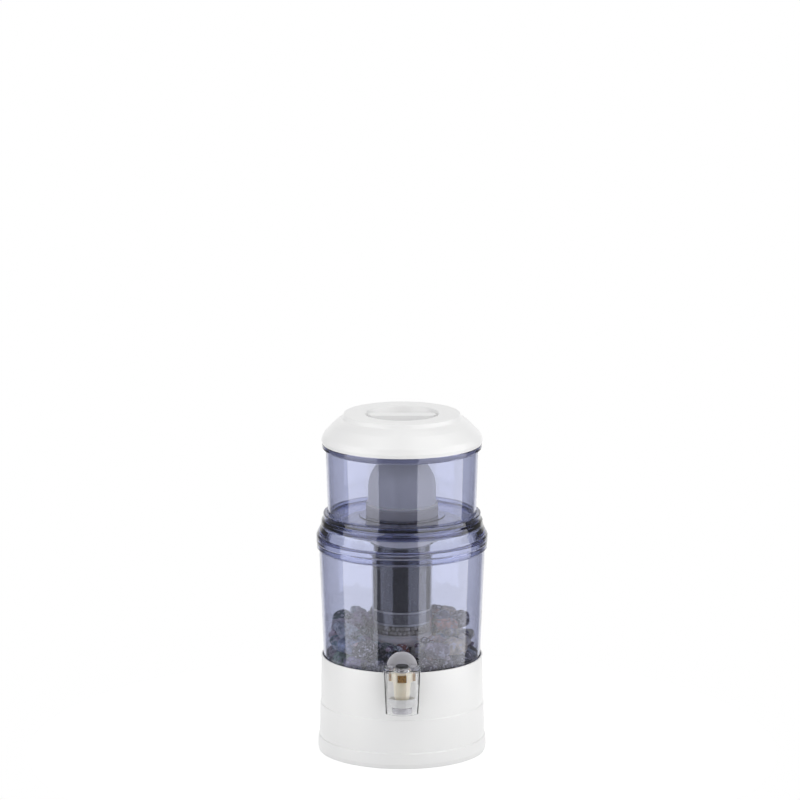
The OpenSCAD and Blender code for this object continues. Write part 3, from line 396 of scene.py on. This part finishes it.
# Cast-clear acrylic: colourless, with bright edges and a trace of moulding flow.
clear_acrylic, tree, shader, place = finish(
    "clear acrylic", Base_Color=(0.98, 0.98, 0.985, 1), IOR=1.49, Transmission_Weight=1.0)
flow = add(tree, "TexNoise", Vector=place, Scale=1 / (14 * MM), Detail=1.0)
polish = add(tree, "MapRange", Value=flow.outputs[0], To_Min=0.0, To_Max=0.04)
relief = add(tree, "Bump", Height=flow.outputs[0], Strength=0.08, Distance=0.6 * MM)
feed(tree, shader, Roughness=polish.outputs[0], Normal=relief.outputs[0])
let_lamps_in(tree, (0.98, 0.98, 0.985, 1))
smoke = add(tree, "VolumeAbsorption", Color=(0.70, 0.74, 0.80, 1), Density=22.0)
feed(tree, tree.nodes["Material Output"], Volume=smoke.outputs[0])

# The hood's edges are broken by a small round, as a polished mould leaves them
bm = bmesh.new()
bm.from_mesh(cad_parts["tap_hood"].data)
bmesh.ops.remove_doubles(bm, verts=bm.verts, dist=2e-6)
bmesh.ops.dissolve_limit(bm, angle_limit=math.radians(0.5), verts=bm.verts, edges=bm.edges)
corners = [e for e in bm.edges if len(e.link_faces) == 2 and e.calc_face_angle(0) > math.radians(30)]
bmesh.ops.bevel(bm, geom=corners, offset=0.45 * MM, offset_type="OFFSET", affect="EDGES", segments=3,
                profile=0.5, material=-1, clamp_overlap=True)
bmesh.ops.recalc_face_normals(bm, faces=bm.faces)
hood = shaped(bm, "hood_cover", clear_acrylic, smooth=25)
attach(hood, "tap_hood")
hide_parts("tap_hood")

# ---- Cartridge dish and screen ----
# The cartridge hangs by a stepped dish of white polypropylene, thinner and more translucent than
# the stand, with a perforated screen in its throat and a silicone ring under its rim.

# Thin natural polypropylene: off-white, waxy and a little translucent.
dish_plastic, tree, shader, place = finish(
    "natural polypropylene", IOR=1.49, Subsurface_Weight=0.4, Subsurface_Scale=9 * MM,
    Subsurface_Radius=(1.0, 0.75, 0.6))
cloud = add(tree, "TexNoise", Vector=place, Scale=1 / (50 * MM), Detail=2.0)
tone = add(tree, "Mix", [("data_type", "RGBA")], _0=cloud.outputs[0],
           _6=linear("#F6EEE6"), _7=linear("#FBF6EE"))
peel = add(tree, "TexNoise", Vector=place, Scale=1 / (1.8 * MM), Detail=3.0)
sheen = add(tree, "MapRange", Value=peel.outputs[0], To_Min=0.28, To_Max=0.4)
relief = add(tree, "Bump", Height=peel.outputs[0], Strength=0.05, Distance=0.4 * MM)
feed(tree, shader, Base_Color=tone.outputs[2], Roughness=sheen.outputs[0], Normal=relief.outputs[0])
dress(dish_plastic, "cartridge_dish", "inlet_screen", "cartridge_cap")

# Moulded silicone: milky white, soft and matt, with a dusty surface.
silicone, tree, shader, place = finish(
    "milky silicone", IOR=1.41, Subsurface_Weight=0.3, Subsurface_Scale=1.5 * MM)
dust = add(tree, "TexNoise", Vector=place, Scale=1 / (1.5 * MM), Detail=4.0)
tone = add(tree, "Mix", [("data_type", "RGBA")], _0=dust.outputs[0],
           _6=linear("#E0DED6"), _7=linear("#EEECE4"))
relief = add(tree, "Bump", Height=dust.outputs[0], Strength=0.12, Distance=0.2 * MM)
feed(tree, shader, Base_Color=tone.outputs[2], Roughness=0.55, Normal=relief.outputs[0])
dress(silicone, "dish_gasket", "dome_seal", "dome_gasket", "stem_washer")

# ---- Media tube and its fillings ----
# A tapered clear tube holds the media in layers: felt, carbon, felt, silica sand, felt and a loose
# layer of mineral balls, and a drilled cap closes its foot.

dress(clear_acrylic, "cartridge_tube")


def packed(name, material, top, foot, room, grit, depth):
    """A filling of grains: a plug with the tube's taper whose side and ends are pitted by the grains."""
    around = int(2 * math.pi * room(foot) / grit)
    rows = max(4, int((foot - top) / grit))
    rings = int(room(top) / (3 * grit))
    bm = bmesh.new()
    line = [(0, top)] + [(room(top) * k / rings, top) for k in range(1, rings)]
    line += [(room(top + (foot - top) * k / rows), top + (foot - top) * k / rows) for k in range(rows + 1)]
    line += [(room(foot) * k / rings, foot) for k in range(rings - 1, 0, -1)] + [(0, foot)]
    verts = [bm.verts.new((r * MM, 0, (media_top - z) * MM)) for r, z in line]
    for one, two in zip(verts, verts[1:]):
        bm.edges.new((one, two))
    bmesh.ops.spin(bm, geom=list(bm.edges), cent=(0, 0, 0), axis=(0, 0, 1), angle=2 * math.pi,
                   steps=around, use_merge=True)
    bmesh.ops.remove_doubles(bm, verts=bm.verts, dist=1e-6)
    for vert in bm.verts:
        pit = depth * (0.5 + 0.5 * noise.noise(vert.co / (grit * MM) * 0.8)) * MM
        side = math.hypot(vert.co.x, vert.co.y)
        if side > 1e-6:
            vert.co.xy *= 1 - pit / max(side, 5 * MM)
        if abs(vert.co.z - (media_top - top) * MM) < 1e-6:
            vert.co.z -= pit
    bmesh.ops.recalc_face_normals(bm, faces=bm.faces)
    return shaped(bm, name, material, smooth=180)


media_top = 328.5
tube_room = lambda depth: 46.6 - 1.4 * depth / 138
felt, silica_layer = 3, 17
balls_foot = 134
balls_layer = 16
balls_from = balls_foot - balls_layer
silica_from = balls_from - felt - silica_layer

# Coconut shell carbon: black grains about 1.5 mm across with grey dust on them and the odd bright facet,
# each grain painted darker towards its edge as painted shade in the gaps between grains.
carbon_grain, tree, shader, place = finish("carbon grains", IOR=1.6, Specular_IOR_Level=0.5)
cells = add(tree, "TexVoronoi", Vector=place, Scale=1 / (1.7 * MM))
shade = add(tree, "SeparateColor", Color=cells.outputs["Color"])
tone = add(tree, "Mix", [("data_type", "RGBA")], _0=shade.outputs[0],
           _6=linear("#17161B"), _7=linear("#42404C"))
# edges darkens each grain towards its rim, which is painted shade between grains; it also drives the bump.
edges = add(tree, "MapRange", Value=cells.outputs["Distance"], From_Max=0.7, To_Min=1.0, To_Max=0.25)
grain_tone_with_painted_gap_shade = add(tree, "Mix", [("data_type", "RGBA"), ("blend_type", "MULTIPLY")], _0=1.0, _6=tone.outputs[2])
tree.links.new(edges.outputs[0], grain_tone_with_painted_gap_shade.inputs[7])
gloss = add(tree, "MapRange", Value=shade.outputs[1], To_Min=0.25, To_Max=0.7)
relief = add(tree, "Bump", Height=edges.outputs[0], Strength=0.7, Distance=0.6 * MM)
feed(tree, shader, Base_Color=grain_tone_with_painted_gap_shade.outputs[2], Roughness=gloss.outputs[0], Normal=relief.outputs[0])
carbon = packed("carbon_grains", carbon_grain, felt, silica_from - felt, tube_room, 1.7, 0.5)
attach(carbon, "cartridge")
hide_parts("carbon_bed")
dress(carbon_grain, "dome_carbon")

# Washed silica sand: grey-white grains about 1 mm across, some clear and some dark, each painted darker
# towards its edge as painted shade between grains.
sand_grain, tree, shader, place = finish("silica sand", IOR=1.54)
cells = add(tree, "TexVoronoi", Vector=place, Scale=1 / (1.3 * MM))
shade = add(tree, "SeparateColor", Color=cells.outputs["Color"])
tone = add(tree, "Mix", [("data_type", "RGBA")], _0=shade.outputs[0],
           _6=linear("#77767A"), _7=linear("#B9B9B5"))
# edges darkens each grain towards its rim, which is painted shade between grains; it also drives the bump.
edges = add(tree, "MapRange", Value=cells.outputs["Distance"], From_Max=0.7, To_Min=1.0, To_Max=0.45)
grain_tone_with_painted_gap_shade = add(tree, "Mix", [("data_type", "RGBA"), ("blend_type", "MULTIPLY")], _0=1.0, _6=tone.outputs[2])
tree.links.new(edges.outputs[0], grain_tone_with_painted_gap_shade.inputs[7])
relief = add(tree, "Bump", Height=edges.outputs[0], Strength=0.6, Distance=0.4 * MM)
feed(tree, shader, Base_Color=grain_tone_with_painted_gap_shade.outputs[2], Roughness=0.45, Normal=relief.outputs[0])
sand = packed("silica_sand", sand_grain, silica_from, balls_from - felt, tube_room, 1.4, 0.35)
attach(sand, "cartridge")
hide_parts("silica_bed")

# Needled polyester felt: white, matt and fuzzy, with fibres lying every way.
felt_pad, tree, shader, place = finish("needled felt", Sheen_Weight=0.3, Sheen_Roughness=0.6)
fibre = add(tree, "TexNoise", Vector=place, Scale=1 / (0.9 * MM), Detail=5.0, Roughness=0.7)
tone = add(tree, "Mix", [("data_type", "RGBA")], _0=fibre.outputs[0],
           _6=linear("#C9C8C4"), _7=linear("#EFEEEA"))
relief = add(tree, "Bump", Height=fibre.outputs[0], Strength=0.5, Distance=0.4 * MM)
feed(tree, shader, Base_Color=tone.outputs[2], Roughness=0.95, Normal=relief.outputs[0])
for node, top in (("upper_felt", 0), ("middle_felt", silica_from - felt), ("lower_felt", balls_from - felt)):
    pad = packed(node + "_pad", felt_pad, top, top + felt, tube_room, 1.5, 0.2)
    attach(pad, "cartridge")
    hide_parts(node)

# Fired mineral balls: cream to grey-white, matt and dusty.
fired_ball, tree, shader, place = finish("fired mineral ball", IOR=1.5)
dust = add(tree, "TexNoise", Vector=place, Scale=1 / (8 * MM), Detail=4.0)
tone = add(tree, "Mix", [("data_type", "RGBA")], _0=dust.outputs[0],
           _6=linear("#C9C2AE"), _7=linear("#F1EDE2"))
relief = add(tree, "Bump", Height=dust.outputs[0], Strength=0.2, Distance=0.3 * MM)
feed(tree, shader, Base_Color=tone.outputs[2], Roughness=0.6, Normal=relief.outputs[0])
bm = bmesh.new()
draw = random.Random(11)
ball_r, ball_gap, row_gap = 3.6, 7.35, 6.4
room = tube_room(balls_foot) - ball_r - 0.2
for layer, height in enumerate((ball_r, 9.3)):
    for row in range(-7, 8):
        for column in range(-7, 8):
            x = (column + 0.5 * (row % 2) + 0.33 * layer) * ball_gap
            y = (row + 0.5 * layer) * row_gap
            if math.hypot(x, y) > room:
                continue
            at = Vector((x + draw.uniform(-0.1, 0.1), y + draw.uniform(-0.1, 0.1),
                         media_top - balls_foot + 0.1 + height + draw.uniform(0, 0.5))) * MM
            ball = bmesh.ops.create_icosphere(bm, subdivisions=2, radius=ball_r * MM)["verts"]
            bmesh.ops.translate(bm, verts=ball, vec=at)
count = 38
for layer, height in enumerate((ball_r, 10.6)):
    for k in range(count):
        angle = 2 * math.pi * (k + 0.5 * layer) / count
        at = Vector((room * math.cos(angle), room * math.sin(angle),
                     media_top - balls_foot + 0.1 + height + draw.uniform(0, 0.6))) * MM
        if layer == 0 or k % 5:
            ball = bmesh.ops.create_icosphere(bm, subdivisions=2, radius=(ball_r - 0.1) * MM)["verts"]
            bmesh.ops.translate(bm, verts=ball, vec=at)
balls = shaped(bm, "mineral_ball_layer", fired_ball, smooth=180)
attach(balls, "cartridge")
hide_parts("mineral_balls")

# ---- Dome filter ----
# The dome is a hollow ceramic candle, slip cast and fired, bedded with a cream bead in a grey
# moulded cup. The cup's stem goes through the upper tank's floor and a washer and wing nut hold it.

# Fired diatomite: chalk white, dead matt, with fine pores.
ceramic, tree, shader, place = finish("fired diatomite", IOR=1.45, Specular_IOR_Level=0.25)
chalk = add(tree, "TexNoise", Vector=place, Scale=1 / (16 * MM), Detail=4.0)
tone = add(tree, "Mix", [("data_type", "RGBA")], _0=chalk.outputs[0],
           _6=linear("#ECECEB"), _7=linear("#F4F3F1"))
pores = add(tree, "TexNoise", Vector=place, Scale=1 / (0.9 * MM), Detail=4.0, Roughness=0.7)
relief = add(tree, "Bump", Height=pores.outputs[0], Strength=0.18, Distance=0.3 * MM)
feed(tree, shader, Base_Color=tone.outputs[2], Roughness=0.85, Normal=relief.outputs[0])
dress(ceramic, "ceramic_dome")

# Grey ABS of the candle's cup: a warm light grey with a satin skin.
grey_plastic, tree, shader, place = finish("warm grey ABS", IOR=1.53)
cloud = add(tree, "TexNoise", Vector=place, Scale=1 / (20 * MM), Detail=2.0)
tone = add(tree, "Mix", [("data_type", "RGBA")], _0=cloud.outputs[0],
           _6=linear("#C3C0BA"), _7=linear("#CECBC5"))
peel = add(tree, "TexNoise", Vector=place, Scale=1 / (1.5 * MM), Detail=3.0)
relief = add(tree, "Bump", Height=peel.outputs[0], Strength=0.08, Distance=0.3 * MM)
feed(tree, shader, Base_Color=tone.outputs[2], Roughness=0.38, Normal=relief.outputs[0])

# The cup and its stem are one turning: top, ring with its groove, seat, threaded stem and bore
cup_low, cup_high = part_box("dome_base")
ring_h, bore_r, core_r, crest_r = 17, 3.0, 5.7, 6.5
pitch, thread_top, row_step = 2.0, -1.5, 0.25
seat_z = cup_high.z - ring_h * MM
stem_foot = (cup_low.z - seat_z) / MM
rows = int((thread_top - stem_foot - 1) / row_step)
outline = [(bore_r, ring_h), (56.6, ring_h), (57.3, ring_h - 0.3), (57.6, ring_h - 1), (57.6, 13.2),
           (56.8, 13.2), (56.8, 12), (57.7, 12), (58, 4), (57.6, 1), (56.6, 0), (crest_r, 0),
           (crest_r, thread_top)]
thread_start = len(outline)
outline += [(crest_r, thread_top - row_step * k) for k in range(1, rows)]
thread_end = len(outline)
outline += [(core_r, stem_foot + 0.6), (core_r - 0.6, stem_foot), (bore_r, stem_foot)]
around = 96
bm = bmesh.new()
grid = []
for number, (r, z) in enumerate(outline):
    hoop = []
    for k in range(around):
        turn, reach = 2 * math.pi * k / around, r
        if thread_start <= number < thread_end:
            along = (z / pitch + k / around) % 1.0
            reach = core_r + (crest_r - core_r) * min(1.0, 2.4 * abs(along - 0.5))
        hoop.append(bm.verts.new((reach * math.cos(turn) * MM, reach * math.sin(turn) * MM, seat_z + z * MM)))
    grid.append(hoop)
for one, two in zip(grid, grid[1:] + grid[:1]):
    for k in range(around):
        bm.faces.new((one[k], one[k - 1], two[k - 1], two[k]))
bmesh.ops.recalc_face_normals(bm, faces=bm.faces)
cup = shaped(bm, "candle_cup", grey_plastic, smooth=30)
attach(cup, "dome")
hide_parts("dome_base")
dress(white_plastic, "wing_nut")

# ---- Lid ----
# The lid is moulded like the stand, with a fluted brim, a raised top and a finger well that has a
# grip bar across it.

dress(white_plastic, "lid")

# ---- Floor, lights and camera ----
# A round white floor in a white room, lit by two tall soft boxes and one overhead, and seen from a
# little above through a long lens. Bright panels and dark flags give the clear walls their edges.

bm = bmesh.new()
bmesh.ops.create_circle(bm, segments=96, radius=0.6, cap_ends=True)
floor_white, tree, shader, place = finish("white floor", Roughness=1.0, Specular_IOR_Level=0.0)
floor = shaped(bm, "floor", floor_white)


def unlit_view(tree):
    """1 for rays that show the background itself, to the camera or in gloss and glass, and 0 for light."""
    path = add(tree, "LightPath")
    shown = add(tree, "Math", [("operation", "MAXIMUM")],
                _0=path.outputs["Is Camera Ray"], _1=path.outputs["Is Glossy Ray"])
    shown = add(tree, "Math", [("operation", "MAXIMUM")],
                _0=shown.outputs[0], _1=path.outputs["Is Transmission Ray"])
    first = add(tree, "Math", [("operation", "LESS_THAN")], _0=path.outputs["Diffuse Depth"], _1=0.5)
    shown = add(tree, "Math", [("operation", "MULTIPLY")], _0=shown.outputs[0], _1=first.outputs[0])
    return shown.outputs[0], path


shown, path = unlit_view(tree)
glow = add(tree, "Math", [("operation", "MULTIPLY")], _0=shown, _1=0.46)
feed(tree, shader, Base_Color=linear("#E7E7E7"),
     Emission_Color=(1, 1, 1, 1), Emission_Strength=glow.outputs[0])

world = bpy.data.worlds.new("studio")
bpy.context.scene.world = world
world.use_nodes = True
tree = world.node_tree
shown, path = unlit_view(tree)
# The flags show only in reflections: mirrored rays that leave to the sides behind the object.
facing = add(tree, "SeparateXYZ", Vector=add(tree, "TexCoord").outputs["Generated"])
flat = add(tree, "CombineXYZ", X=facing.outputs[0], Y=facing.outputs[1])
level_way = add(tree, "VectorMath", [("operation", "NORMALIZE")], _0=flat.outputs[0])
behind = add(tree, "SeparateXYZ", Vector=level_way.outputs[0]).outputs[1]
off_flag = add(tree, "MapRange", [("interpolation_type", "SMOOTHSTEP")], Value=behind,
               From_Min=0.80, From_Max=0.94, To_Min=0.22, To_Max=1.0)
mirrored = add(tree, "Math", [("operation", "GREATER_THAN")], _0=path.outputs["Glossy Depth"], _1=0.5)
# Two bright panels in front on either side show in the same rays, as even strips on the tanks
azimuth = add(tree, "Math", [("operation", "ARCTAN2")], _0=facing.outputs[0],
              _1=add(tree, "Math", [("operation", "MULTIPLY")], _0=facing.outputs[1], _1=-1.0).outputs[0])
left_panel = add(tree, "Math", [("operation", "COMPARE")], _0=azimuth.outputs[0], _1=math.radians(-64),
                 _2=math.radians(28))
right_panel = add(tree, "Math", [("operation", "COMPARE")], _0=azimuth.outputs[0], _1=math.radians(65.5),
                  _2=math.radians(41.5))
panels = add(tree, "Math", [("operation", "ADD")], _0=left_panel.outputs[0], _1=right_panel.outputs[0])
walls = add(tree, "Math", [("operation", "MULTIPLY_ADD")],
            _0=panels.outputs[0], _1=2.0, _2=off_flag.outputs[0])
room = add(tree, "Mix", _0=mirrored.outputs[0], _2=1.0, _3=walls.outputs[0])
level = add(tree, "Mix", _0=shown, _2=0.56, _3=room.outputs[0])
feed(tree, tree.nodes["Background"], Color=(1, 1, 1, 1), Strength=level.outputs[0])


def soft_box(name, wide, tall, radiance, place, turned):
    """A rectangular lamp of even brightness that lights the object and is not seen itself."""
    lamp = bpy.data.lights.new(name, "AREA")
    lamp.shape = "RECTANGLE"
    lamp.size, lamp.size_y = wide, tall
    lamp.energy = radiance * math.pi * wide * tall
    box = bpy.data.objects.new(name, lamp)
    box.location, box.rotation_euler = place, turned
    bpy.context.scene.collection.objects.link(box)
    box.visible_camera = False
    box.visible_transmission = False
    box.visible_glossy = False
    return box


far, level_z, tall, side_light, top_light = 2.5, 0.65, 2.8, 1.13, 1.02
for name, azimuth, wide in (("left_box", -61, 2.9), ("right_box", 65, 4.4)):
    turn = math.radians(azimuth)
    at = (far * math.sin(turn), -far * math.cos(turn), level_z)
    soft_box(name, wide, tall, side_light, at, (math.pi / 2, 0, turn))
soft_box("top_box", 2.2, 2.2, top_light, (0, -0.2, 3.0), (0, 0, 0))
bpy.context.scene.cycles.transparent_max_bounces = 24

eye = bpy.data.cameras.new("camera")
eye.lens, eye.sensor_width, eye.clip_end = 226.7, 36.0, 100.0
camera = bpy.data.objects.new("camera", eye)
bpy.context.scene.collection.objects.link(camera)
aim, tilt, away = Vector((-0.0032, 0, 0.570)), math.radians(11.5), 8.0
camera.location = aim + Vector((0, -math.cos(tilt), math.sin(tilt))) * away
camera.rotation_euler = (math.pi / 2 - tilt, 0, 0)
bpy.context.scene.camera = camera
bpy.context.scene.view_settings.view_transform = "Standard"
